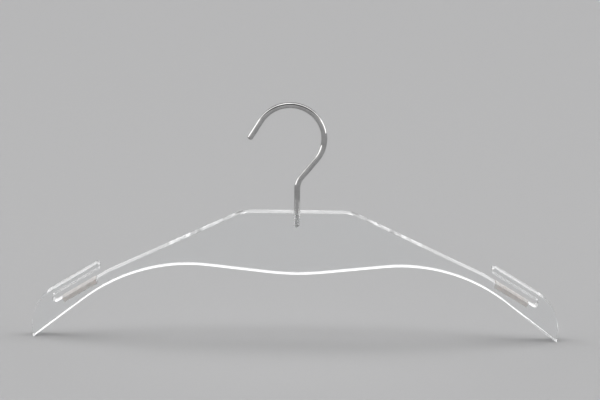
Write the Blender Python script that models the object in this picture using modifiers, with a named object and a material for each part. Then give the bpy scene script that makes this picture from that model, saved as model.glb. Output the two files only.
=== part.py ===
"""Clear acrylic clothes hanger: a flat plate, a screw-in wire hook and two soft grip pads.

Metres, +Z up. X runs along the hanger, Y through the plate. The origin is the point of the hook's
inner curve that lies straight above the plate's centre, where the hanger sits on a rail.
"""
import math

import bmesh
import bpy
from mathutils import Matrix, Vector

# Plate
PLATE_THICKNESS = 0.012
PLATE_HEIGHT = 0.0528             # at the centre
ARRIS = 0.0004                    # polished chamfer along every cut edge
HIP_REACH = 0.0453                # half of the flat top, out to the shoulder line
HIP_RADIUS = 0.036
SHOULDER_SLOPE = math.radians(25.3)
BELLY_SLOPE = math.radians(6.1)   # underside, rising from the centre
BELLY_RADIUS = 0.215
ARCH_RADIUS = 0.142
TAIL_SLOPE = math.radians(38.1)   # underside, falling to the tip
TIP_REACH = 0.2195                # half of the span, tip to tip
TIP_RADIUS = 0.0008
END_LEAN = math.radians(5.8)      # outer ends lean in towards the tips
END_RADIUS = 0.036

# Strap slot, measured along the slope from where the shoulder turns into the slot floor
SLOT_INSET = 0.0625               # from the tip in to that turn
SLOT_TURN_RADIUS = 0.060
SLOT_SLOPE = math.radians(31.6)
SLOT_LENGTH = 0.0518
SLOT_GAP = 0.0063
FINGER_START = 0.0026
FINGER_THICKNESS = 0.0045
CUT_RADIUS = 0.0006               # left in the notch corners by the cutter

# Grip pads, pressed into notches in the slot floors
PAD_START = 0.0118
PAD_LENGTH = 0.0325
PAD_DEPTH = 0.0035
PAD_PROUD = 0.0006                # above the slot floor
PAD_WALL = 0.004                  # acrylic left under a notch, at its inner end
PAD_CORNER_RADIUS = 0.0006
PAD_GAP = 0.0003                  # between a pad and its notch, all round

# Hook
WIRE_DIAMETER = 0.0048
HOOK_BORE = 0.052                 # clear width inside the bend
HOOK_OFFSET = 0.0066              # from the shank's axis to the bend's centre
HOOK_RISE = 0.0624                # from the plate's top to the bend's centre
NECK_LEAN = math.radians(39.0)    # from upright, between the bend and the shank
NECK_RADIUS = 0.015
POINT_LEAN = math.radians(31.5)   # from upright, between the bend and the domed end
POINT_LENGTH = 0.0185

# Screwed end of the hook
THREAD_DIAMETER = 0.005
THREAD_LENGTH = 0.0115            # inside the plate
THREAD_CHAMFER = 0.0006
THREAD_GAP = 0.0002               # between the thread and its hole, all round
DRILL_POINT = math.radians(59.0)  # half of the drill's point angle

# Faceting
CHORD_ERROR = 0.00002
ROUND_SIDES = 32
DOME_STEPS = 6
DOME_FLAT = 0.25                  # of a step, left flat at the dome's tip
WIRE_BEVEL_RESOLUTION = 6
ARRIS_ANGLE = math.radians(60)    # edges that turn more than this are chamfered
CREASE_ANGLE = math.radians(40)   # edges that turn more than this are shaded sharp
MERGE = 0.00001

WIRE_RADIUS = WIRE_DIAMETER / 2
BEND_RADIUS = HOOK_BORE / 2 + WIRE_RADIUS
BEND_CENTRE_Z = -math.sqrt((HOOK_BORE / 2) ** 2 - HOOK_OFFSET ** 2)
PLATE_TOP_Z = BEND_CENTRE_Z - HOOK_RISE
FACE_OUT = Matrix.Rotation(math.radians(90), 4, "X")


def clear_scene():
    """Remove whatever the file holds."""
    for item in list(bpy.data.objects):
        bpy.data.objects.remove(item, do_unlink=True)
    for group in list(bpy.data.collections):
        bpy.data.collections.remove(group)


def new_collection(name):
    """Add a collection to the scene."""
    group = bpy.data.collections.new(name)
    bpy.context.scene.collection.children.link(group)
    return group


def new_material(name, colour, roughness, metallic=0.0, transmission=0.0, ior=1.5):
    """A Principled material."""
    material = bpy.data.materials.new(name)
    material.use_nodes = True
    material.diffuse_color = (*colour, 1.0)
    shader = material.node_tree.nodes["Principled BSDF"]
    shader.inputs["Base Color"].default_value = (*colour, 1.0)
    shader.inputs["Roughness"].default_value = roughness
    shader.inputs["Metallic"].default_value = metallic
    shader.inputs["Transmission Weight"].default_value = transmission
    shader.inputs["IOR"].default_value = ior
    return material


def add_object(name, data, group):
    """Put a new object in a collection."""
    item = bpy.data.objects.new(name, data)
    group.objects.link(item)
    return item


def heading(angle):
    """Unit vector at an angle from +X."""
    return Vector((math.cos(angle), math.sin(angle)))


def crossing(point_a, angle_a, point_b, angle_b):
    """Where two lines meet, each given by a point and an angle."""
    along_a, along_b = heading(angle_a), heading(angle_b)
    return point_a + along_a * ((point_b - point_a).cross(along_b) / along_a.cross(along_b))


def arc(centre, radius, start, end):
    """Points from one angle to another, both ends included."""
    step = 2 * math.acos(1 - min(0.5, CHORD_ERROR / radius))
    count = max(2, math.ceil(abs(end - start) / step))
    return [centre + heading(start + (end - start) * i / count) * radius for i in range(count + 1)]


def fillet(before, corner, after, radius):
    """Points of the arc that rounds one corner."""
    back, ahead = (before - corner).normalized(), (after - corner).normalized()
    half = back.angle(ahead) / 2
    centre = corner + (back + ahead).normalized() * (radius / math.sin(half))
    start = corner + back * (radius / math.tan(half)) - centre
    turn = start.angle_signed(corner + ahead * (radius / math.tan(half)) - centre)
    first = math.atan2(start.y, start.x)
    return arc(centre, radius, first, first - turn)


def rounded(corners):
    """Points round (corner, radius) pairs. A fillet gives way where an edge is too short for two."""
    count = len(corners)
    points = [corner for corner, _ in corners]
    tangents = []
    for i, (corner, radius) in enumerate(corners):
        back, ahead = points[i - 1] - corner, points[(i + 1) % count] - corner
        tangents.append(radius / math.tan(back.angle(ahead) / 2) if radius else 0.0)
    path = []
    for i, (corner, radius) in enumerate(corners):
        if not radius:
            path.append(corner)
            continue
        ease = 1.0
        for other in (i - 1, (i + 1) % count):
            ease = min(ease, (points[other] - corner).length / (tangents[i] + tangents[other]))
        path += fillet(points[i - 1], corner, points[(i + 1) % count], radius * ease)
    return [a for a, b in zip(path, path[1:] + path[:1]) if (a - b).length > MERGE]


def flat_curve(name, outline, thickness, group):
    """A flat outline in X and Z, filled and extruded to a thickness in Y."""
    curve = bpy.data.curves.new(name, "CURVE")
    curve.dimensions = "2D"
    curve.fill_mode = "BOTH"
    curve.extrude = thickness / 2
    spline = curve.splines.new("POLY")
    spline.points.add(len(outline) - 1)
    for point, place in zip(spline.points, outline):
        point.co = (place.x, place.y, 0.0, 1.0)
    spline.use_cyclic_u = True
    item = add_object(name, curve, group)
    item.matrix_world = FACE_OUT
    return item


def to_mesh(item, group):
    """Replace a curve object by a mesh object with its caps welded on."""
    bpy.context.view_layer.update()
    seen = item.evaluated_get(bpy.context.evaluated_depsgraph_get())
    mesh = bpy.data.meshes.new_from_object(seen)
    form = bmesh.new()
    form.from_mesh(mesh)
    bmesh.ops.remove_doubles(form, verts=form.verts, dist=MERGE)
    bmesh.ops.recalc_face_normals(form, faces=form.faces)
    form.to_mesh(mesh)
    form.free()
    name, place = item.name, item.matrix_world.copy()
    bpy.data.objects.remove(item, do_unlink=True)
    solid = add_object(name, mesh, group)
    mesh.name = name
    solid.matrix_world = place
    return solid


def chamfer(item, width):
    """Break the sharp edges of a flat-cut piece."""
    bevel = item.modifiers.new("arris", "BEVEL")
    bevel.width = width
    bevel.segments = 1
    bevel.limit_method = "ANGLE"
    bevel.angle_limit = ARRIS_ANGLE


def slot_point(along, above):
    """A point given along the slot floor, outwards, and square to it, upwards."""
    reach = TIP_REACH - SLOT_INSET
    turn = Vector((reach, -math.tan(SHOULDER_SLOPE) * (reach - HIP_REACH)))
    return turn + heading(-SLOT_SLOPE) * along + heading(math.pi / 2 - SLOT_SLOPE) * above


def plate_corners():
    """Corners and radii of the plate's right half, from the hip round to the arch, from the flat top."""
    seat_end = PAD_START + PAD_LENGTH
    finger_top = SLOT_GAP + FINGER_THICKNESS
    under_notch = slot_point(PAD_START, -PAD_DEPTH - PAD_WALL)
    tip = crossing(under_notch, -TAIL_SLOPE, Vector((TIP_REACH, 0.0)), math.pi / 2)
    end = crossing(slot_point(0.0, finger_top), -SLOT_SLOPE, tip, math.pi / 2 - END_LEAN)
    arch = crossing(belly_corner(), BELLY_SLOPE, tip, -TAIL_SLOPE)
    return [
        (Vector((HIP_REACH, 0.0)), HIP_RADIUS),
        (slot_point(0.0, 0.0), SLOT_TURN_RADIUS),
        (slot_point(PAD_START, 0.0), CUT_RADIUS),
        (slot_point(PAD_START, -PAD_DEPTH), CUT_RADIUS),
        (slot_point(seat_end, -PAD_DEPTH), CUT_RADIUS),
        (slot_point(seat_end, 0.0), CUT_RADIUS),
        (slot_point(SLOT_LENGTH, 0.0), SLOT_GAP / 2),
        (slot_point(SLOT_LENGTH, SLOT_GAP), SLOT_GAP / 2),
        (slot_point(FINGER_START, SLOT_GAP), FINGER_THICKNESS / 2),
        (slot_point(FINGER_START, finger_top), FINGER_THICKNESS / 2),
        (end, END_RADIUS),
        (tip, TIP_RADIUS),
        (arch, ARCH_RADIUS),
    ]


def belly_corner():
    """Where the two rising lines of the underside would meet, under the centre."""
    return Vector((0.0, -PLATE_HEIGHT - BELLY_RADIUS * (1 / math.cos(BELLY_SLOPE) - 1)))


def mirrored(corners):
    """The same corners on the other side, in the order that carries on round the outline."""
    return [(Vector((-corner.x, corner.y)), radius) for corner, radius in reversed(corners)]


def lifted(points):
    """Points measured from the plate's flat top, set at the plate's height."""
    return [Vector((point.x, point.y + PLATE_TOP_Z)) for point in points]


def make_hole_cutter(group):
    """The drill that leaves the blind hole for the hook's thread."""
    radius = THREAD_DIAMETER / 2 + THREAD_GAP
    floor = -THREAD_LENGTH - THREAD_GAP
    rim = PLATE_THICKNESS
    profile = [(0.0, rim), (radius, rim), (radius, floor), (0.0, floor - radius / math.tan(DRILL_POINT))]
    mesh = bpy.data.meshes.new("hook_hole_cutter")
    mesh.from_pydata([(x, 0.0, z) for x, z in profile], [(i, i + 1) for i in range(len(profile) - 1)], [])
    cutter = add_object("hook_hole_cutter", mesh, group)
    cutter.location.z = PLATE_TOP_Z
    screw = cutter.modifiers.new("turn", "SCREW")
    screw.steps = screw.render_steps = ROUND_SIDES
    screw.use_merge_vertices = True
    screw.merge_threshold = MERGE
    cutter.hide_render = True
    cutter.display_type = "WIRE"
    return cutter


def make_plate(parts, cutters, material):
    """The acrylic plate with its slots, pad notches and hook hole."""
    half = plate_corners()
    outline = rounded(half + [(belly_corner(), BELLY_RADIUS)] + mirrored(half))
    plate = to_mesh(flat_curve("acrylic_body", lifted(outline), PLATE_THICKNESS, parts), parts)
    hole = plate.modifiers.new("hook_hole", "BOOLEAN")
    hole.operation = "DIFFERENCE"
    hole.object = make_hole_cutter(cutters)
    chamfer(plate, ARRIS)
    plate.data.materials.append(material)
    return plate


def make_pad(name, side, parts, material):
    """A grip pad in its notch, standing a little proud of the slot floor."""
    start, end = PAD_START + PAD_GAP, PAD_START + PAD_LENGTH - PAD_GAP
    top, foot = PAD_PROUD, PAD_GAP - PAD_DEPTH
    corners = [(slot_point(along, above), PAD_CORNER_RADIUS)
               for along, above in ((start, top), (end, top), (end, foot), (start, foot))]
    if side < 0:
        corners = mirrored(corners)
    outline = rounded(corners)
    pad = to_mesh(flat_curve(name, lifted(outline), PLATE_THICKNESS, parts), parts)
    chamfer(pad, ARRIS)
    pad.data.materials.append(material)
    return pad


def hook_path():
    """Centreline of the wire in X and Z, from the domed end to the end of the thread."""
    centre = Vector((-HOOK_OFFSET, BEND_CENTRE_Z))
    bend = arc(centre, BEND_RADIUS, math.pi - POINT_LEAN, -NECK_LEAN)
    point_end = bend[0] - heading(math.pi / 2 - POINT_LEAN) * POINT_LENGTH
    shank = Vector((0.0, PLATE_TOP_Z))
    neck = crossing(bend[-1], math.pi / 2 - NECK_LEAN, shank, math.pi / 2)
    lower = fillet(bend[-1], neck, shank, NECK_RADIUS)
    return point_end, bend + lower + [shank]


def make_hook(parts, material):
    """The bent wire, with a domed end and a plain round in place of its thread."""
    point_end, path = hook_path()
    inwards = (path[0] - point_end).normalized()
    stations = []
    for i in range(DOME_STEPS + 1):
        angle = math.pi / 2 * (i + DOME_FLAT) / (DOME_STEPS + DOME_FLAT)
        stations.append((point_end + inwards * WIRE_RADIUS * (1 - math.cos(angle)), math.sin(angle)))
    stations += [(place, 1.0) for place in path]
    thread = THREAD_DIAMETER / WIRE_DIAMETER
    slim = thread - 2 * THREAD_CHAMFER / WIRE_DIAMETER
    chamfer_start = THREAD_LENGTH - THREAD_CHAMFER
    for depth, width in ((THREAD_CHAMFER, thread), (chamfer_start, thread), (THREAD_LENGTH, slim)):
        stations.append((Vector((0.0, PLATE_TOP_Z - depth)), width))
    curve = bpy.data.curves.new("hook", "CURVE")
    curve.dimensions = "3D"
    curve.bevel_depth = WIRE_RADIUS
    curve.bevel_resolution = WIRE_BEVEL_RESOLUTION
    curve.use_fill_caps = True
    spline = curve.splines.new("POLY")
    spline.points.add(len(stations) - 1)
    for point, (place, width) in zip(spline.points, stations):
        point.co = (place.x, 0.0, place.y, 1.0)
        point.radius = width
    hook = to_mesh(add_object("hook", curve, parts), parts)
    hook.data.shade_smooth()
    hook.data.set_sharp_from_angle(angle=CREASE_ANGLE)
    hook.data.materials.append(material)
    return hook


def main():
    """Build the hanger."""
    clear_scene()
    parts = new_collection("clothes_hanger")
    cutters = new_collection("cutters")
    acrylic = new_material("clear_acrylic", (0.96, 0.98, 0.99), 0.02, transmission=1.0, ior=1.49)
    steel = new_material("polished_steel", (0.62, 0.62, 0.63), 0.18, metallic=1.0)
    silicone = new_material("frosted_silicone", (0.82, 0.80, 0.79), 0.55, transmission=0.3, ior=1.41)

    make_hook(parts, steel)
    swivel = add_object("swivel_axis", None, parts)
    swivel.location.z = PLATE_TOP_Z
    bpy.context.view_layer.update()
    carried = [
        make_plate(parts, cutters, acrylic),
        make_pad("left_grip_pad", -1, parts, silicone),
        make_pad("right_grip_pad", 1, parts, silicone),
    ]
    for item in carried:
        item.parent = swivel
        item.matrix_parent_inverse = swivel.matrix_world.inverted()


main()
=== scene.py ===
"""Studio dressing of a clear acrylic hanger: polished plate, threaded wire hook and frosted grip pads."""
from __future__ import annotations
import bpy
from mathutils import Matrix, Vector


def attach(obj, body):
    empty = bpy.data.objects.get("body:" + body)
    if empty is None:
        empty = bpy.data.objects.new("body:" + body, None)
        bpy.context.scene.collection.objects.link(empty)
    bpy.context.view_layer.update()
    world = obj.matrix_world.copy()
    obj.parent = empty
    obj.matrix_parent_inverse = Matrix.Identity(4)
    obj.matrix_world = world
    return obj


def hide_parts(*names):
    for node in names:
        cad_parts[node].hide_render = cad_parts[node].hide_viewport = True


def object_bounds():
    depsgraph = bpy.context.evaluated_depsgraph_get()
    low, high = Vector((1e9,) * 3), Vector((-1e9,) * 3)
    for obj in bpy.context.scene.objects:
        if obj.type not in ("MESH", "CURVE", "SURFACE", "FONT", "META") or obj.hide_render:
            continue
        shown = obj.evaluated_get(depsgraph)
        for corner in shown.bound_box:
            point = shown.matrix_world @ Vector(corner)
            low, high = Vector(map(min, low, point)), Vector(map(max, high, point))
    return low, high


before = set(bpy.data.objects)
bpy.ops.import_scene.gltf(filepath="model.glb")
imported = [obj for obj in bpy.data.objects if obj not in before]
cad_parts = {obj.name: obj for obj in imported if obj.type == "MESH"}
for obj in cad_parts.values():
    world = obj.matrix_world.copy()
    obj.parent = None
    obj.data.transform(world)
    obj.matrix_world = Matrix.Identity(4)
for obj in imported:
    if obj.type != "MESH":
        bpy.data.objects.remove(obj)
CAD_BOX = [list(corner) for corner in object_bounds()]

import logging
import math
from dataclasses import dataclass, field
from enum import Enum
from typing import Any, Sequence

import bmesh
import bpy
from mathutils import Matrix, Vector

LOG = logging.getLogger("clothes_hanger")

Colour = tuple[float, float, float]
Ease = tuple[float, float]        # where a mask starts to rise, and where it is full
Rim = list[bmesh.types.BMEdge]

IMAGE_WIDTH = 600                 # pixels, as the photograph
OUT_OF_PLATE = Vector((0.0, -1.0, 0.0))
UP = Vector((0.0, 0.0, 1.0))
MERGE = 1e-6                      # points closer than this are one
NEAR = 1e-5                       # a point closer than this lies on a plane
WALL_TILT = 0.1                   # a cut wall's normal leans out of the plate's plane by less than this
MIX_SHARE, MIX_FIRST, MIX_SECOND, MIX_RESULT = 0, 6, 7, 2     # sockets of a Mix node that mixes colours


class Body(Enum):
    """The moving bodies that pieces ride on."""

    HOOK = "hook"
    HANGER = "hanger_body"


class Slot(Enum):
    """The record's material slots."""

    STEEL = "polished_steel"
    ACRYLIC = "clear_acrylic"
    SILICONE = "frosted_silicone"


class PlateFace(Enum):
    """How a face of the plate is finished, as its material number."""

    POLISHED = 0
    HOLE = 1
    SLOT = 2


class Side(Enum):
    """The two ends of the hanger, as the sign of X."""

    LEFT = -1
    RIGHT = 1


def turned(angle: float) -> Vector:
    """Unit vector in the plate's plane at an angle from +X towards +Z."""
    return Vector((math.cos(angle), 0.0, math.sin(angle)))


def crossing(point_a: Vector, angle_a: float, point_b: Vector, angle_b: float) -> Vector:
    """Where two lines in the plate's plane meet.

    Args:
        point_a: a point of the first line.
        angle_a: the first line's angle from +X towards +Z.
        point_b: a point of the second line.
        angle_b: the second line's angle.

    Returns:
        The point that both lines share.
    """
    along_a, along_b = turned(angle_a), turned(angle_b)
    gap = point_b - point_a
    reach = (gap.x * along_b.z - gap.z * along_b.x) / (along_a.x * along_b.z - along_a.z * along_b.x)
    return point_a + along_a * reach


def arc_steps(radius: float, angle: float, sag: float) -> int:
    """How many chords an arc needs.

    Args:
        radius: the arc's radius.
        angle: how far it turns.
        sag: the most that a chord may lie off the arc.

    Returns:
        The number of chords, two at least.
    """
    return max(2, math.ceil(abs(angle) / (2 * math.acos(1 - sag / radius))))


def only(kind: type, geometry: Sequence[Any]) -> list[Any]:
    """The items of one kind among an operator's results."""
    return [item for item in geometry if isinstance(item, kind)]


def round_edges(form: bmesh.types.BMesh, edges: Rim, radius: float, steps: int) -> None:
    """Round edges over.

    Args:
        form: the mesh that they are in.
        edges: the edges.
        radius: how far the rounding reaches from an edge.
        steps: faces across the rounding.
    """
    bmesh.ops.bevel(form, geom=edges, offset=radius, affect="EDGES", segments=steps, profile=0.5, material=-1)


@dataclass(frozen=True)
class Corner:
    """A sharp corner of an outline and the radius that rounds it."""

    place: Vector
    radius: float


@dataclass(frozen=True)
class Bend:
    """The arc that rounds a corner."""

    start: Vector
    centre: Vector
    angle: float

    @classmethod
    def between(cls, before: Vector, corner: Corner, after: Vector) -> Bend:
        """Fit the arc to a corner.

        Args:
            before: the corner that the outline comes from.
            corner: the corner to round.
            after: the corner that the outline goes to.

        Returns:
            The arc, with its angle counted from +X towards +Z.
        """
        back, ahead = (before - corner.place).normalized(), (after - corner.place).normalized()
        half = back.angle(ahead) / 2
        side = 1.0 if back.cross(ahead).y > 0 else -1.0
        start = corner.place + back * (corner.radius / math.tan(half))
        centre = corner.place + (back + ahead).normalized() * (corner.radius / math.sin(half))
        return cls(start, centre, side * (math.pi - 2 * half))


class Pen:
    """Draws a wire outline in the plate's plane with bmesh operators."""

    def __init__(self, form: bmesh.types.BMesh, start: Vector, sag: float) -> None:
        """Put the pen down.

        Args:
            form: the mesh to draw in.
            start: where the outline starts.
            sag: the most that a chord may lie off its arc.
        """
        self.form = form
        self.sag = sag
        self.tip = form.verts.new(start)

    def line_to(self, place: Vector) -> None:
        """Draw a straight line.

        Args:
            place: where it ends.
        """
        if (place - self.tip.co).length > MERGE:
            self.tip = bmesh.ops.extrude_vert_indiv(self.form, verts=[self.tip])["verts"][0]
            self.tip.co = place

    def bend(self, arc: Bend) -> None:
        """Draw up to an arc and round it.

        Args:
            arc: the arc.
        """
        self.line_to(arc.start)
        steps = arc_steps((arc.start - arc.centre).length, arc.angle, self.sag)
        last = bmesh.ops.spin(self.form, geom=[self.tip], cent=arc.centre, axis=OUT_OF_PLATE, angle=arc.angle,
                              steps=steps)["geom_last"]
        self.tip = only(bmesh.types.BMVert, last)[0]

    def follow(self, corners: Sequence[Corner], before: Vector, after: Vector) -> None:
        """Draw through rounded corners.

        Args:
            corners: the corners, in order.
            before: the corner that the outline comes from.
            after: the corner that it goes on to.
        """
        places = [before, *(corner.place for corner in corners), after]
        for i, corner in enumerate(corners):
            self.bend(Bend.between(places[i], corner, places[i + 2]))


def new_piece(name: str, form: bmesh.types.BMesh) -> bpy.types.Object:
    """Turn a finished bmesh into an object at the origin, with its faces pointing outwards.

    Args:
        name: the piece's name.
        form: its mesh, which is freed.

    Returns:
        The new object, in the scene.
    """
    bmesh.ops.remove_doubles(form, verts=form.verts, dist=MERGE)
    bmesh.ops.recalc_face_normals(form, faces=form.faces)
    if all(edge.is_manifold for edge in form.edges) and form.calc_volume(signed=True) < 0:
        bmesh.ops.reverse_faces(form, faces=form.faces)
    mesh = bpy.data.meshes.new(name)
    form.to_mesh(mesh)
    form.free()
    piece = bpy.data.objects.new(name, mesh)
    bpy.context.scene.collection.objects.link(piece)
    return piece


def soften(piece: bpy.types.Object, crease: float) -> None:
    """Shade a piece smooth, with flat faces kept flat and creases kept crisp.

    Args:
        piece: the piece to shade.
        crease: the angle past which an edge stays sharp.
    """
    piece.data.shade_smooth()
    piece.data.set_sharp_from_angle(angle=crease)
    even = piece.modifiers.new("even_normals", "WEIGHTED_NORMAL")
    even.keep_sharp = True


def install(piece: bpy.types.Object, body: Body, slot: Slot, node: str,
            *materials: bpy.types.Material) -> None:
    """Dress a piece, put it on its body and report it.

    Args:
        piece: the finished piece.
        body: the body that it rides on.
        slot: the record's slot for its finish; not used.
        node: the CAD node that it stands for.
        materials: its materials, in the order of its faces' material numbers.
    """
    for material in materials:
        piece.data.materials.append(material)
    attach(piece, body.value)
    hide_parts(node)
    LOG.info("%s rides on %s: %d faces, for %s", piece.name, body.value, len(piece.data.polygons), node)


class Term:
    """A number in a material that takes part in Python expressions."""

    def __init__(self, bench: NodeBench, socket: bpy.types.NodeSocket) -> None:
        """Wrap a socket of a bench's node tree."""
        self.bench = bench
        self.socket = socket

    def _maths(self, operation: str, first: Any, second: Any) -> Term:
        """Add one Math node."""
        made = self.bench.node("ShaderNodeMath", {"operation": operation}, {0: first, 1: second})
        return Term(self.bench, made.outputs[0])

    def __add__(self, other: Any) -> Term:
        """self + other."""
        return self._maths("ADD", self, other)

    def __radd__(self, other: Any) -> Term:
        """other + self."""
        return self._maths("ADD", other, self)

    def __sub__(self, other: Any) -> Term:
        """self - other."""
        return self._maths("SUBTRACT", self, other)

    def __rsub__(self, other: Any) -> Term:
        """other - self."""
        return self._maths("SUBTRACT", other, self)

    def __mul__(self, other: Any) -> Term:
        """self * other."""
        return self._maths("MULTIPLY", self, other)

    def __rmul__(self, other: Any) -> Term:
        """other * self."""
        return self._maths("MULTIPLY", other, self)

    def __abs__(self) -> Term:
        """abs(self)."""
        return self._maths("ABSOLUTE", self, 0.0)

    def above(self, low: float, high: float) -> Term:
        """Rise smoothly from 0 at low to 1 at high.

        Args:
            low: the value that gives 0.
            high: the value that gives 1.

        Returns:
            The eased share.
        """
        made = self.bench.node("ShaderNodeMapRange", {"interpolation_type": "SMOOTHSTEP"},
                               {"Value": self, "From Min": low, "From Max": high})
        return Term(self.bench, made.outputs["Result"])


@dataclass(frozen=True)
class Grain:
    """A noise pattern: features per metre, octaves, weight of the finer octaves and a scale for each axis."""

    scale: float
    detail: float
    roughness: float = 0.5
    stretch: tuple[float, float, float] | None = None


class NodeBench:
    """Makes the nodes of one material or world."""

    def __init__(self, tree: bpy.types.NodeTree) -> None:
        """Start on a tree, with its own nodes removed."""
        self.tree = tree
        tree.nodes.clear()

    def node(self, kind: str, settings: dict[str, Any] | None = None,
             sockets: dict[str | int, Any] | None = None) -> bpy.types.Node:
        """Make any node.

        Args:
            kind: the node's type.
            settings: its own settings, which are set first.
            sockets: values or links of its inputs, by name or number.

        Returns:
            The new node.
        """
        made = self.tree.nodes.new(kind)
        for name, value in (settings or {}).items():
            setattr(made, name, value)
        for name, value in (sockets or {}).items():
            source = value.socket if isinstance(value, Term) else value
            if isinstance(source, bpy.types.NodeSocket):
                self.tree.links.new(source, made.inputs[name])
            else:
                made.inputs[name].default_value = source
        return made

    def noise(self, grain: Grain) -> Term:
        """A noise pattern on Object coordinates.

        Args:
            grain: the pattern.

        Returns:
            Its value, from 0 to 1.
        """
        where = self.node("ShaderNodeTexCoord").outputs["Object"]
        if grain.stretch:
            mapping = self.node("ShaderNodeMapping", {}, {"Vector": where, "Scale": grain.stretch})
            where = mapping.outputs["Vector"]
        made = self.node("ShaderNodeTexNoise", {}, {
            "Vector": where,
            "Scale": grain.scale,
            "Detail": grain.detail,
            "Roughness": grain.roughness,
        })
        return Term(self, made.outputs["Fac"])

    def facing(self) -> Term:
        """How squarely the surface faces along the piece's own Y, from -1 to 1."""
        normal = self.node("ShaderNodeTexCoord").outputs["Normal"]
        return Term(self, self.node("ShaderNodeSeparateXYZ", {}, {"Vector": normal}).outputs["Y"])

    def tint(self, share: Term, low: Colour, high: Colour) -> bpy.types.NodeSocket:
        """A colour between two others.

        Args:
            share: 0 for the first colour, 1 for the second.
            low: the first colour.
            high: the second colour.

        Returns:
            The mixed colour's socket.
        """
        made = self.node("ShaderNodeMix", {"data_type": "RGBA"},
                         {MIX_SHARE: share, MIX_FIRST: (*low, 1.0), MIX_SECOND: (*high, 1.0)})
        return made.outputs[MIX_RESULT]

    def bump(self, height: Term, depth: float) -> bpy.types.NodeSocket:
        """A bumped normal.

        Args:
            height: the relief, from 0 to 1.
            depth: its depth in metres.

        Returns:
            The normal's socket.
        """
        return self.node("ShaderNodeBump", {}, {"Height": height, "Distance": depth}).outputs["Normal"]

    def surface(self, sockets: dict[str | int, Any]) -> None:
        """Finish a material with one Principled shader, given its inputs."""
        shader = self.node("ShaderNodeBsdfPrincipled", {}, sockets)
        self.node("ShaderNodeOutputMaterial", {}, {"Surface": shader.outputs["BSDF"]})


def new_bench(name: str) -> tuple[bpy.types.Material, NodeBench]:
    """Start a material.

    Args:
        name: its name.

    Returns:
        The material and the bench that makes its nodes.
    """
    material = bpy.data.materials.new(name)
    material.use_nodes = True
    return material, NodeBench(material.node_tree)


@dataclass(frozen=True)
class ClearAcrylic:
    """Cast acrylic with clear faces, faint handling marks and flame-polished edges."""

    tint: Colour = (0.985, 0.993, 0.996)
    ior: float = 1.49
    polish: float = 0.004
    face_ease: Ease = (0.35, 0.9)
    marks: Grain = Grain(scale=38.0, detail=5.0, roughness=0.6)
    marks_ease: Ease = (0.56, 0.74)
    smudge: float = 0.05
    ripple: Grain = Grain(scale=160.0, detail=2.0, stretch=(1.0, 0.25, 1.0))
    ripple_depth: float = 0.00003

    def material(self) -> bpy.types.Material:
        """Make the material.

        Returns:
            The new material.
        """
        material, bench = new_bench("clear_acrylic")
        edge = 1.0 - abs(bench.facing()).above(*self.face_ease)
        marks = bench.noise(self.marks).above(*self.marks_ease)
        ripple = bench.noise(self.ripple) * edge
        bench.surface({
            "Base Color": (*self.tint, 1.0),
            "Roughness": self.polish + marks * (1.0 - edge) * self.smudge,
            "IOR": self.ior,
            "Transmission Weight": 1.0,
            "Normal": bench.bump(ripple, self.ripple_depth),
        })
        return material


@dataclass(frozen=True)
class CutAcrylic:
    """The frosted wall that a cutter leaves where no polishing flame reaches."""

    name: str
    clear_share: float
    matt: float
    frost: Colour = (0.96, 0.965, 0.968)
    torn: Colour = (0.88, 0.887, 0.89)
    ior: float = 1.49
    tears: Grain = Grain(scale=1400.0, detail=3.0, roughness=0.6, stretch=(1.0, 0.3, 1.0))
    matt_range: float = 0.2

    def material(self) -> bpy.types.Material:
        """Make the material.

        Returns:
            The new material.
        """
        material, bench = new_bench(self.name)
        tears = bench.noise(self.tears)
        bench.surface({
            "Base Color": bench.tint(tears, self.frost, self.torn),
            "Roughness": self.matt + tears * self.matt_range,
            "IOR": self.ior,
            "Transmission Weight": self.clear_share,
        })
        return material


@dataclass(frozen=True)
class PolishedSteel:
    """Bright drawn wire with a soft bloom, fine rubbing marks and a painted shade that darkens its outline.
    """

    bright: Colour = (0.55, 0.547, 0.544)
    dull: Colour = (0.43, 0.428, 0.426)
    # painted shade: a dark edge tint that darkens the steel's reflections towards the wire's outline,
    # standing in for the dark rims that dark surroundings give
    painted_edge_shade: Colour = (0.2, 0.2, 0.2)
    cloud: Grain = Grain(scale=120.0, detail=4.0, roughness=0.55)
    cloud_ease: Ease = (0.35, 0.75)
    polish: float = 0.06
    bloom: float = 0.12
    scratches: Grain = Grain(scale=900.0, detail=3.0, roughness=0.7, stretch=(1.0, 6.0, 1.0))
    scratch_depth: float = 0.000004

    def material(self) -> bpy.types.Material:
        """Make the material.

        Returns:
            The new material.
        """
        material, bench = new_bench("polished_steel")
        cloud = bench.noise(self.cloud).above(*self.cloud_ease)
        scratches = bench.noise(self.scratches)
        bench.surface({
            "Base Color": bench.tint(cloud, self.bright, self.dull),
            "Metallic": 1.0,
            "Roughness": self.polish + cloud * self.bloom,
            # painted shade: the dark edge tint turns the wire's grazing reflections into dark outlines
            "Specular Tint": (*self.painted_edge_shade, 1.0),
            "Normal": bench.bump(scratches, self.scratch_depth),
        })
        return material


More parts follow.
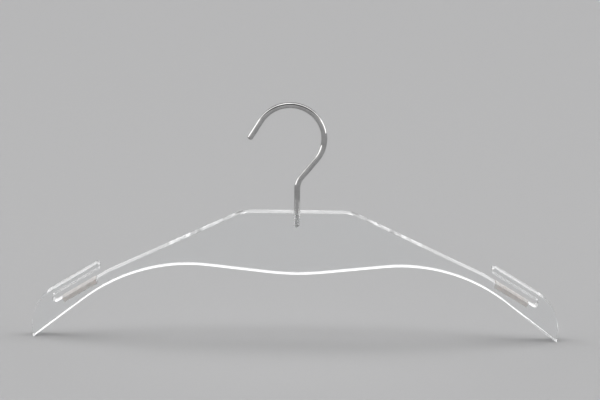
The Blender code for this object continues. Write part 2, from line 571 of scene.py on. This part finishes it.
@dataclass(frozen=True)
class FrostedSilicone:
    """Milky moulded silicone with a fine matt grain."""

    milky: Colour = (0.82, 0.785, 0.765)
    clouded: Colour = (0.7, 0.665, 0.645)
    ior: float = 1.41
    cloud: Grain = Grain(scale=180.0, detail=4.0, roughness=0.6)
    cloud_ease: Ease = (0.3, 0.75)
    matt: float = 0.28
    matt_range: float = 0.15
    glow: float = 0.55
    glow_reach: tuple[float, float, float] = (1.0, 0.9, 0.85)
    glow_depth: float = 0.003
    grain: Grain = Grain(scale=3200.0, detail=3.0, roughness=0.65)
    grain_depth: float = 0.00004

    def material(self) -> bpy.types.Material:
        """Make the material.

        Returns:
            The new material.
        """
        material, bench = new_bench("frosted_silicone")
        cloud = bench.noise(self.cloud).above(*self.cloud_ease)
        grain = bench.noise(self.grain)
        bench.surface({
            "Base Color": bench.tint(cloud, self.milky, self.clouded),
            "Roughness": self.matt + grain * self.matt_range,
            "IOR": self.ior,
            "Subsurface Weight": self.glow,
            "Subsurface Radius": self.glow_reach,
            "Subsurface Scale": self.glow_depth,
            "Normal": bench.bump(grain, self.grain_depth),
        })
        return material


@dataclass(frozen=True)
class StudioPaper:
    """Plain pale paper under and behind the hanger."""

    shade: Colour = (0.455, 0.455, 0.46)
    lighter: Colour = (0.485, 0.485, 0.49)
    fibre: Grain = Grain(scale=700.0, detail=2.0)
    matt: float = 0.75
    gloss: float = 0.2

    def material(self) -> bpy.types.Material:
        """Make the material.

        Returns:
            The new material.
        """
        material, bench = new_bench("studio_paper")
        fibre = bench.noise(self.fibre)
        bench.surface({
            "Base Color": bench.tint(fibre, self.shade, self.lighter),
            "Roughness": self.matt,
            "Specular IOR Level": self.gloss,
        })
        return material


@dataclass(frozen=True)
class Thread:
    """A screw thread about the hook's axis, its ridge given in shares of the pitch."""

    crest: float
    root: float
    pitch: float = 0.0021
    steps: int = 36
    ridge_start: float = 0.5
    crest_start: float = 0.7
    crest_end: float = 0.8
    lead_in: float = 1.5          # turns wound below the foot, then cut off
    spare_turns: int = 2          # turns wound more than the length needs

    def rod(self, form: bmesh.types.BMesh, top: float, foot: float) -> None:
        """Wind a threaded rod, closed at both ends.

        Args:
            form: the mesh to wind it in.
            top: the height of its top.
            foot: the height of its foot.
        """
        turns = math.ceil((top - foot) / self.pitch) + self.spare_turns
        start = foot - self.lead_in * self.pitch
        ridge = ((self.root, 0.0), (self.root, self.ridge_start), (self.crest, self.crest_start),
                 (self.crest, self.crest_end), (self.root, 1.0))
        line = [form.verts.new((radius, 0.0, start + share * self.pitch)) for radius, share in ridge]
        edges = [form.edges.new(pair) for pair in zip(line, line[1:])]
        climb = UP * (self.pitch / self.steps)
        bmesh.ops.spin(form, geom=[*line, *edges], cent=Vector(), axis=UP, dvec=climb, angle=math.tau * turns,
                       steps=self.steps * turns)
        bmesh.ops.remove_doubles(form, verts=form.verts, dist=MERGE)
        for height, outwards in ((top, UP), (foot, -UP)):
            bmesh.ops.bisect_plane(form, geom=[*form.verts, *form.edges, *form.faces], plane_co=UP * height,
                                   plane_no=outwards, clear_outer=True)
        rims = [edge for edge in form.edges if edge.is_boundary]
        bmesh.ops.holes_fill(form, edges=rims, sides=0)


@dataclass
class Seat:
    """Where the hook, the plate and the pads meet, in metres from the rail seat."""

    plate_top: float = -0.0875484
    plate_thickness: float = 0.012
    thread_length: float = 0.0115
    shoulder_slope: float = math.radians(25.3)
    hip_reach: float = 0.0453
    tip_reach: float = 0.2195
    slot_inset: float = 0.0625
    slot_slope: float = math.radians(31.6)
    pad_start: float = 0.0118
    pad_length: float = 0.0325
    pad_depth: float = 0.0035

    def slot_point(self, along: float, above: float) -> Vector:
        """A point of the right-hand slot.

        Args:
            along: distance along the slot floor, outwards from the shoulder's turn.
            above: distance square to the floor.

        Returns:
            The point, in the plate's middle plane.
        """
        reach = self.tip_reach - self.slot_inset
        drop = math.tan(self.shoulder_slope) * (reach - self.hip_reach)
        turn = Vector((reach, 0.0, self.plate_top - drop))
        return turn + turned(-self.slot_slope) * along + turned(math.pi / 2 - self.slot_slope) * above

    def under_finger(self, place: Vector, length: float, gap: float) -> bool:
        """Whether a point lies on the straight underside of either strap finger.

        Args:
            place: the point.
            length: the slot's length from the shoulder's turn.
            gap: the slot's width.

        Returns:
            True between the finger's round end and the slot's closed end.
        """
        offset = Vector((abs(place.x), 0.0, place.z)) - self.slot_point(0.0, 0.0)
        along, above = offset.dot(turned(-self.slot_slope)), offset.dot(turned(math.pi / 2 - self.slot_slope))
        return gap < along < length - gap / 2 and abs(above - gap) < NEAR


@dataclass
class AcrylicPlate:
    """The flat plate with its strap fingers, pad notches and tapped hole."""

    seat: Seat
    finish: ClearAcrylic = field(default_factory=ClearAcrylic)
    hole_finish: CutAcrylic = CutAcrylic("tapped_acrylic", clear_share=0.15, matt=0.3)
    slot_finish: CutAcrylic = CutAcrylic("routed_acrylic", clear_share=0.8, matt=0.55)
    height: float = 0.0528
    hip_radius: float = 0.036
    belly_slope: float = math.radians(6.1)
    belly_radius: float = 0.215
    arch_radius: float = 0.142
    tail_slope: float = math.radians(38.1)
    tip_radius: float = 0.0008
    end_lean: float = math.radians(5.8)
    end_radius: float = 0.036
    slot_turn_radius: float = 0.060
    slot_length: float = 0.0518
    slot_gap: float = 0.0063
    finger_start: float = 0.0026
    finger_thickness: float = 0.0045
    cut_radius: float = 0.0006
    pad_wall: float = 0.004
    arris: float = 0.00035
    arris_steps: int = 3
    sag: float = 0.000003
    tapping: Thread = Thread(crest=0.0027, root=0.0024)
    drill_point: float = math.radians(59.0)
    drill_above: float = 0.002    # how far the drill stands out of the plate
    hole_spare: float = 0.0002    # how much deeper the hole is than the thread
    crease: float = math.radians(50.0)

    def corners(self) -> list[Corner]:
        """Work out the right half's corners.

        Returns:
            The corners, from the hip round to the arch.
        """
        at, seat = self.seat.slot_point, self.seat
        seat_end = seat.pad_start + seat.pad_length
        finger_top = self.slot_gap + self.finger_thickness
        under_notch = at(seat.pad_start, -seat.pad_depth - self.pad_wall)
        tip = crossing(under_notch, -self.tail_slope, Vector((seat.tip_reach, 0.0, 0.0)), math.pi / 2)
        end = crossing(at(0.0, finger_top), -seat.slot_slope, tip, math.pi / 2 - self.end_lean)
        arch = crossing(self.belly(), self.belly_slope, tip, -self.tail_slope)
        return [
            Corner(Vector((seat.hip_reach, 0.0, seat.plate_top)), self.hip_radius),
            Corner(at(0.0, 0.0), self.slot_turn_radius),
            Corner(at(seat.pad_start, 0.0), self.cut_radius),
            Corner(at(seat.pad_start, -seat.pad_depth), self.cut_radius),
            Corner(at(seat_end, -seat.pad_depth), self.cut_radius),
            Corner(at(seat_end, 0.0), self.cut_radius),
            Corner(at(self.slot_length, 0.0), self.slot_gap / 2),
            Corner(at(self.slot_length, self.slot_gap), self.slot_gap / 2),
            Corner(at(self.finger_start, self.slot_gap), self.finger_thickness / 2),
            Corner(at(self.finger_start, finger_top), self.finger_thickness / 2),
            Corner(end, self.end_radius),
            Corner(tip, self.tip_radius),
            Corner(arch, self.arch_radius),
        ]

    def belly(self) -> Vector:
        """Where the two rising lines of the underside would meet."""
        spare = self.belly_radius * (1 / math.cos(self.belly_slope) - 1)
        return Vector((0.0, 0.0, self.seat.plate_top - self.height - spare))

    def blank(self) -> bmesh.types.BMesh:
        """Cut the plate's outline, thicken it and round its arrises.

        Returns:
            The plate without its hole, with the walls under its fingers marked.
        """
        form = bmesh.new()
        corners = self.corners()
        top_centre = Vector((0.0, 0.0, self.seat.plate_top))
        pen = Pen(form, top_centre, self.sag)
        pen.follow(corners, top_centre, self.belly())
        arch = corners[-1].place
        mirror_arch = Vector((-arch.x, 0.0, arch.z))
        low = Bend.between(arch, Corner(self.belly(), self.belly_radius), mirror_arch)
        pen.bend(Bend(low.start, low.centre, low.angle / 2))
        pen.tip.co.x = 0.0
        bmesh.ops.mirror(form, geom=[*form.verts, *form.edges], axis="X", merge_dist=MERGE)
        bmesh.ops.contextual_create(form, geom=form.edges[:])
        half = self.seat.plate_thickness / 2
        bmesh.ops.translate(form, verts=form.verts, vec=OUT_OF_PLATE * half)
        back = bmesh.ops.extrude_face_region(form, geom=form.faces[:], use_keep_orig=True)["geom"]
        bmesh.ops.translate(form, verts=only(bmesh.types.BMVert, back), vec=OUT_OF_PLATE * (-2 * half))
        bmesh.ops.recalc_face_normals(form, faces=form.faces)
        rims = [edge for edge in form.edges if abs(edge.verts[0].co.y - edge.verts[1].co.y) < half]
        round_edges(form, rims, self.arris, self.arris_steps)
        form.normal_update()
        for face in form.faces:
            middle, is_wall = face.calc_center_median(), abs(face.normal.y) < WALL_TILT
            if is_wall and self.seat.under_finger(middle, self.slot_length, self.slot_gap):
                face.material_index = PlateFace.SLOT.value
        return form

    def drill(self) -> bpy.types.Object:
        """Make the drill.

        Returns:
            The tapped and pointed shape that is taken out for the hook's thread.
        """
        form = bmesh.new()
        bottom = self.seat.plate_top - self.seat.thread_length - self.hole_spare
        self.tapping.rod(form, self.seat.plate_top + self.drill_above, bottom)
        foot = [face for face in form.faces if all(vert.co.z < bottom + NEAR for vert in face.verts)]
        point = bmesh.ops.poke(form, faces=foot)["verts"]
        bmesh.ops.translate(form, verts=point, vec=UP * (-self.tapping.root / math.tan(self.drill_point)))
        for face in form.faces:
            middle = face.calc_center_median()
            if middle.xy.length > self.tapping.root or middle.z < bottom:
                face.material_index = PlateFace.HOLE.value
        return new_piece("hook_drill", form)

    def build(self) -> None:
        """Make, tap and dress the plate."""
        blank, drill = new_piece("plate_blank", self.blank()), self.drill()
        cut = blank.modifiers.new("tapped_hole", "BOOLEAN")
        cut.operation = "DIFFERENCE"
        cut.solver = "EXACT"
        cut.object = drill
        bpy.context.view_layer.update()
        form = bmesh.new()
        form.from_object(blank, bpy.context.evaluated_depsgraph_get())
        for spent in (blank, drill):
            bpy.data.objects.remove(spent, do_unlink=True)
        plate = new_piece("plate", form)
        soften(plate, self.crease)
        finishes = {
            PlateFace.POLISHED: self.finish,
            PlateFace.HOLE: self.hole_finish,
            PlateFace.SLOT: self.slot_finish,
        }
        materials = [finishes[face].material() for face in PlateFace]
        install(plate, Body.HANGER, Slot.ACRYLIC, "acrylic_body", *materials)


@dataclass
class WireHook:
    """The bent wire with its domed end and threaded shank."""

    seat: Seat
    finish: PolishedSteel = field(default_factory=PolishedSteel)
    wire_radius: float = 0.0024
    bore_radius: float = 0.026
    bend_offset: float = 0.0066   # how far the bend's centre lies left of the shank
    bend_rise: float = 0.0624     # and above the plate
    neck_lean: float = math.radians(39.0)
    neck_radius: float = 0.015
    point_lean: float = math.radians(31.5)
    point_length: float = 0.0185
    dome: float = 0.94            # share of the wire's radius that the end's rounding takes
    dome_steps: int = 10
    sides: int = 40
    sag: float = 0.000005
    thread: Thread = Thread(crest=0.00234, root=0.0020)
    run_out: float = 0.0004
    chamfer: float = 0.0006
    crease: float = math.radians(40.0)

    def carry(self, form: bmesh.types.BMesh, painted_edge_shade: Rim, move: Vector) -> Rim:
        """Draw the wire out straight.

        Args:
            form: the wire's mesh.
            painted_edge_shade: the edges of its open end.
            move: where the end goes.

        Returns:
            The edges of the new end.
        """
        drawn = bmesh.ops.extrude_edge_only(form, edges=painted_edge_shade)["geom"]
        bmesh.ops.translate(form, verts=only(bmesh.types.BMVert, drawn), vec=move)
        return [edge for edge in only(bmesh.types.BMEdge, drawn) if edge.is_boundary]

    def turn(self, form: bmesh.types.BMesh, painted_edge_shade: Rim, centre: Vector, radius: float, angle: float) -> Rim:
        """Bend the wire in the plate's plane.

        Args:
            form: the wire's mesh.
            painted_edge_shade: the edges of its open end.
            centre: the bend's centre.
            radius: the bend's radius.
            angle: how far it turns, from +X towards +Z.

        Returns:
            The edges of the new end.
        """
        verts = list(dict.fromkeys(vert for edge in painted_edge_shade for vert in edge.verts))
        last = bmesh.ops.spin(form, geom=[*verts, *painted_edge_shade], cent=centre, axis=OUT_OF_PLATE, angle=angle,
                              steps=arc_steps(radius, angle, self.sag))["geom_last"]
        return only(bmesh.types.BMEdge, last)

    def bent_wire(self) -> bmesh.types.BMesh:
        """Bend the wire from its domed end down to the thread.

        Returns:
            The wire, open where the thread goes on.
        """
        form = bmesh.new()
        centre = Vector((-self.bend_offset, 0.0, self.seat.plate_top + self.bend_rise))
        radius = self.bore_radius + self.wire_radius
        start = centre + turned(math.pi - self.point_lean) * radius
        along = turned(math.pi / 2 - self.point_lean)
        ring = bmesh.ops.create_circle(form, segments=self.sides, radius=self.wire_radius,
                                       cap_ends=True)["verts"]
        aim = along.to_track_quat("Z", "Y").to_matrix().to_4x4()
        end = Matrix.Translation(start - along * self.point_length)
        bmesh.ops.transform(form, matrix=end @ aim, verts=ring)
        nose = form.edges[:]
        painted_edge_shade = self.carry(form, nose, along * self.point_length)
        sweep = math.pi - self.point_lean + self.neck_lean
        painted_edge_shade = self.turn(form, painted_edge_shade, centre, radius, -sweep)
        bend_end = centre + turned(-self.neck_lean) * radius
        axis = Vector((0.0, 0.0, self.seat.plate_top))
        neck = crossing(bend_end, math.pi / 2 - self.neck_lean, axis, math.pi / 2)
        lower = Bend.between(bend_end, Corner(neck, self.neck_radius), axis)
        painted_edge_shade = self.carry(form, painted_edge_shade, lower.start - bend_end)
        painted_edge_shade = self.turn(form, painted_edge_shade, lower.centre, self.neck_radius, lower.angle)
        lower_end = neck + (axis - neck).normalized() * (neck - lower.start).length
        self.carry(form, painted_edge_shade, UP * (self.seat.plate_top + self.run_out - lower_end.z))
        round_edges(form, nose, self.wire_radius * self.dome, self.dome_steps)
        return form

    def build(self) -> None:
        """Make and dress the hook."""
        form = self.bent_wire()
        top, foot = self.seat.plate_top + self.run_out, self.seat.plate_top - self.seat.thread_length
        threaded = bmesh.new()
        self.thread.rod(threaded, top, foot)
        for vert in threaded.verts:
            reach = self.thread.crest - max(0.0, foot + self.chamfer - vert.co.z)
            if vert.co.xy.length > reach:
                vert.co.xy *= reach / vert.co.xy.length
        lid = [face for face in threaded.faces if all(vert.co.z > top - NEAR for vert in face.verts)]
        bmesh.ops.delete(threaded, geom=lid, context="FACES_ONLY")
        spare = bpy.data.meshes.new("thread_stock")
        threaded.to_mesh(spare)
        threaded.free()
        form.from_mesh(spare)
        bpy.data.meshes.remove(spare)
        open_rims = [edge for edge in form.edges if edge.is_boundary]
        bmesh.ops.bridge_loops(form, edges=open_rims)
        hook = new_piece("wire_hook", form)
        soften(hook, self.crease)
        install(hook, Body.HOOK, Slot.STEEL, "hook", self.finish.material())


@dataclass
class GripPad:
    """A soft bar pressed into the notch of one slot."""

    seat: Seat
    side: Side
    finish: bpy.types.Material
    proud: float = 0.0006
    fit: float = 0.00006
    round_over: float = 0.0005
    round_steps: int = 4
    cuts_along: int = 15
    cuts_across: int = 9
    crown: float = 0.00012
    end_dip: float = 0.6          # how far the crown falls at the ends, as a share of its fall at the sides
    crease: float = math.radians(60.0)

    def build(self) -> None:
        """Make and dress the pad."""
        seat = self.seat
        long, tall = seat.pad_length - 2 * self.fit, seat.pad_depth + self.proud - self.fit
        deep = seat.plate_thickness - 2 * self.fit
        form = bmesh.new()
        bmesh.ops.create_cube(form, size=1.0)
        bmesh.ops.scale(form, vec=(long, deep, tall), verts=form.verts)
        round_edges(form, form.edges[:], self.round_over, self.round_steps)
        lengthwise = [edge for edge in form.edges if abs((edge.verts[0].co - edge.verts[1].co).x) > long / 2]
        bmesh.ops.subdivide_edges(form, edges=lengthwise, cuts=self.cuts_along, use_grid_fill=True)
        crosswise = [edge for edge in form.edges if abs((edge.verts[0].co - edge.verts[1].co).y) > deep / 2]
        bmesh.ops.subdivide_edges(form, edges=crosswise, cuts=self.cuts_across, use_grid_fill=True)
        for vert in form.verts:
            if vert.co.z > tall / 2 - self.round_over / 2:
                dip = (2 * vert.co.y / deep) ** 2 + self.end_dip * (2 * vert.co.x / long) ** 4
                vert.co.z -= self.crown * dip
        middle = seat.slot_point(seat.pad_start + seat.pad_length / 2, self.proud - tall / 2)
        middle.x *= self.side.value
        lean = Matrix.Rotation(self.side.value * seat.slot_slope, 4, "Y")
        bmesh.ops.transform(form, matrix=Matrix.Translation(middle) @ lean, verts=form.verts)
        label = self.side.name.lower()
        pad = new_piece(f"{label}_pad", form)
        soften(pad, self.crease)
        install(pad, Body.HANGER, Slot.SILICONE, f"{label}_grip_pad", self.finish)


@dataclass(frozen=True)
class Softbox:
    """A large soft lamp."""

    name: str
    place: tuple[float, float, float]
    size: tuple[float, float]
    power: float

    def build(self, aim: Vector) -> None:
        """Hang the lamp.

        Args:
            aim: the point that it faces.
        """
        lamp = bpy.data.lights.new(self.name, "AREA")
        lamp.shape = "RECTANGLE"
        lamp.size, lamp.size_y = self.size
        lamp.energy = self.power
        holder = bpy.data.objects.new(self.name, lamp)
        holder.location = self.place
        holder.rotation_euler = (aim - holder.location).to_track_quat("-Z", "Y").to_euler()
        bpy.context.scene.collection.objects.link(holder)


@dataclass
class Studio:
    """Floor, lamps, surroundings and the camera."""

    floor_height: float
    floor_reach: float = 3.0
    floor_sides: int = 96
    paper: StudioPaper = field(default_factory=StudioPaper)
    aim: Vector = field(default_factory=lambda: Vector((0.00243, 0.0, -0.07747)))
    distance: float = 3.0
    elevation: float = math.radians(14.52)
    yaw: float = math.radians(0.7)
    roll: float = math.radians(0.86)
    pixels_per_metre: float = 1203.5
    sensor: float = 36.0
    clip: tuple[float, float] = (0.01, 60.0)
    sky_level: float = 0.07
    arch_level: float = 1.68
    arch_middle: float = 0.09
    arch_fade: Ease = (0.16, 0.58)
    front_level: float = 0.65
    back_level: float = 1.3
    front_to_back: Ease = (-0.6, 0.5)
    band_top: Ease = (0.31, 0.42)
    bounces: int = 32
    lamps: tuple[Softbox, ...] = (
        Softbox("overhead_softbox", place=(-0.25, -0.05, 1.25), size=(0.9, 0.6), power=1.0),
    )

    def floor(self) -> None:
        """Lay the floor."""
        form = bmesh.new()
        bmesh.ops.create_circle(form, segments=self.floor_sides, radius=self.floor_reach, cap_ends=True)
        bmesh.ops.translate(form, verts=form.verts, vec=UP * self.floor_height)
        floor = new_piece("studio_floor", form)
        floor.data.materials.append(self.paper.material())

    def surroundings(self) -> None:
        """Surround the hanger with a soft band of light along the horizon and an arch of light overhead."""
        world = bpy.data.worlds.new("studio")
        world.use_nodes = True
        bpy.context.scene.world = world
        bench = NodeBench(world.node_tree)
        where = bench.node("ShaderNodeTexCoord").outputs["Generated"]
        parts = bench.node("ShaderNodeSeparateXYZ", {}, {"Vector": where})
        depth, height = Term(bench, parts.outputs["Y"]), Term(bench, parts.outputs["Z"])
        rise = depth.above(*self.front_to_back) * (self.back_level - self.front_level)
        band = self.front_level + rise - self.sky_level
        horizon = band * (1.0 - height.above(*self.band_top))
        arch = (1.0 - abs(depth - self.arch_middle).above(*self.arch_fade)) * self.arch_level
        strength = self.sky_level + horizon + arch
        light = bench.node("ShaderNodeBackground", {}, {"Color": (1.0, 1.0, 1.0, 1.0), "Strength": strength})
        bench.node("ShaderNodeOutputWorld", {}, {"Surface": light.outputs["Background"]})

    def camera(self) -> None:
        """Set up the camera at the photograph's angle."""
        flat = math.cos(self.elevation)
        ahead = Vector((math.sin(self.yaw) * flat, math.cos(self.yaw) * flat, -math.sin(self.elevation)))
        level = Vector((math.cos(self.yaw), -math.sin(self.yaw), 0.0))
        upright = level.cross(ahead)
        right = level * math.cos(self.roll) + upright * math.sin(self.roll)
        above = upright * math.cos(self.roll) - level * math.sin(self.roll)
        lens = bpy.data.cameras.new("camera")
        lens.sensor_fit = "HORIZONTAL"
        lens.sensor_width = self.sensor
        lens.lens = self.sensor * self.pixels_per_metre * self.distance / IMAGE_WIDTH
        lens.clip_start, lens.clip_end = self.clip
        holder = bpy.data.objects.new("camera", lens)
        axes = Matrix((right, above, -ahead)).transposed().to_4x4()
        holder.matrix_world = Matrix.Translation(self.aim - ahead * self.distance) @ axes
        bpy.context.scene.collection.objects.link(holder)
        bpy.context.scene.camera = holder

    def build(self) -> None:
        """Set the studio up."""
        self.floor()
        self.surroundings()
        for lamp in self.lamps:
            lamp.build(self.aim)
        self.camera()
        scene = bpy.context.scene
        scene.view_settings.view_transform = "Standard"
        scene.cycles.max_bounces = self.bounces
        scene.cycles.transmission_bounces = self.bounces
        scene.cycles.glossy_bounces = self.bounces
        LOG.info("studio: %d lamps, floor at %.4f m", len(self.lamps), self.floor_height)


def main() -> None:
    """Build the hanger's pieces, then the studio around them."""
    logging.basicConfig(level=logging.INFO, format="%(name)s: %(message)s")
    seat = Seat()
    silicone = FrostedSilicone().material()
    AcrylicPlate(seat).build()
    WireHook(seat).build()
    for side in Side:
        GripPad(seat, side, silicone).build()
    Studio(floor_height=CAD_BOX[0][2]).build()


if __name__ == "__main__":
    main()
